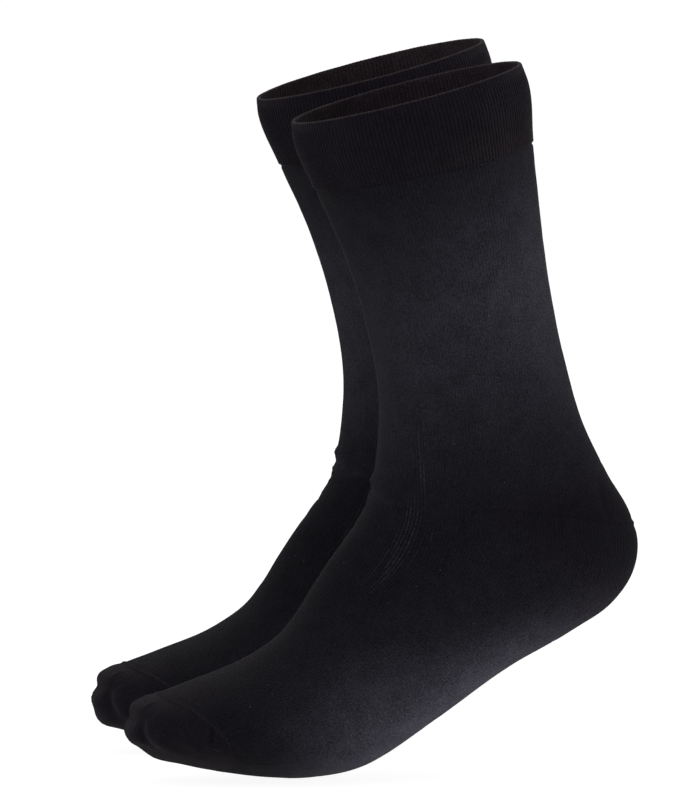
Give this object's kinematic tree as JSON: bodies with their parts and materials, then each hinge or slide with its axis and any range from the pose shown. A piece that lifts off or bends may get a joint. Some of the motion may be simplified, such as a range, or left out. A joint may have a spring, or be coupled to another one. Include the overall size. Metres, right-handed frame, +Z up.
{
  "type": "pair of socks",
  "caption": "Knitted crew socks, filled out as if worn with the heel raised: open double ribbed cuff, plain leg, turned heel pocket, foot and linked toe cap.",
  "frame": {"origin": "midway between the middles of the two cuff openings, where the wearer's legs hold the pair up", "axes": "+Z up, +X towards the heels so that the toes point to -X, +Y from the near sock to the far sock"},
  "size_m": [0.2468, 0.2716, 0.3418],
  "materials": {
    "rib_knit": "black cotton 1x1 rib, turned over to two layers, matt with a soft nap",
    "plain_knit": "black cotton plain knit, fine upright wales, matt with a faint bluish bloom",
    "heel_knit": "black cotton and nylon plain knit of the heel pocket, slightly denser and darker",
    "toe_knit": "black cotton and nylon plain knit of the toe cap, slightly denser and darker"
  },
  "bodies": {
    "root": {"near_sock_cuff": "rib_knit", "near_sock_leg": "plain_knit", "near_sock_heel": "heel_knit", "near_sock_foot": "plain_knit", "near_sock_toe": "toe_knit", "far_sock_cuff": "rib_knit", "far_sock_leg": "plain_knit", "far_sock_heel": "heel_knit", "far_sock_foot": "plain_knit", "far_sock_toe": "toe_knit"}
  },
  "joints": []
}
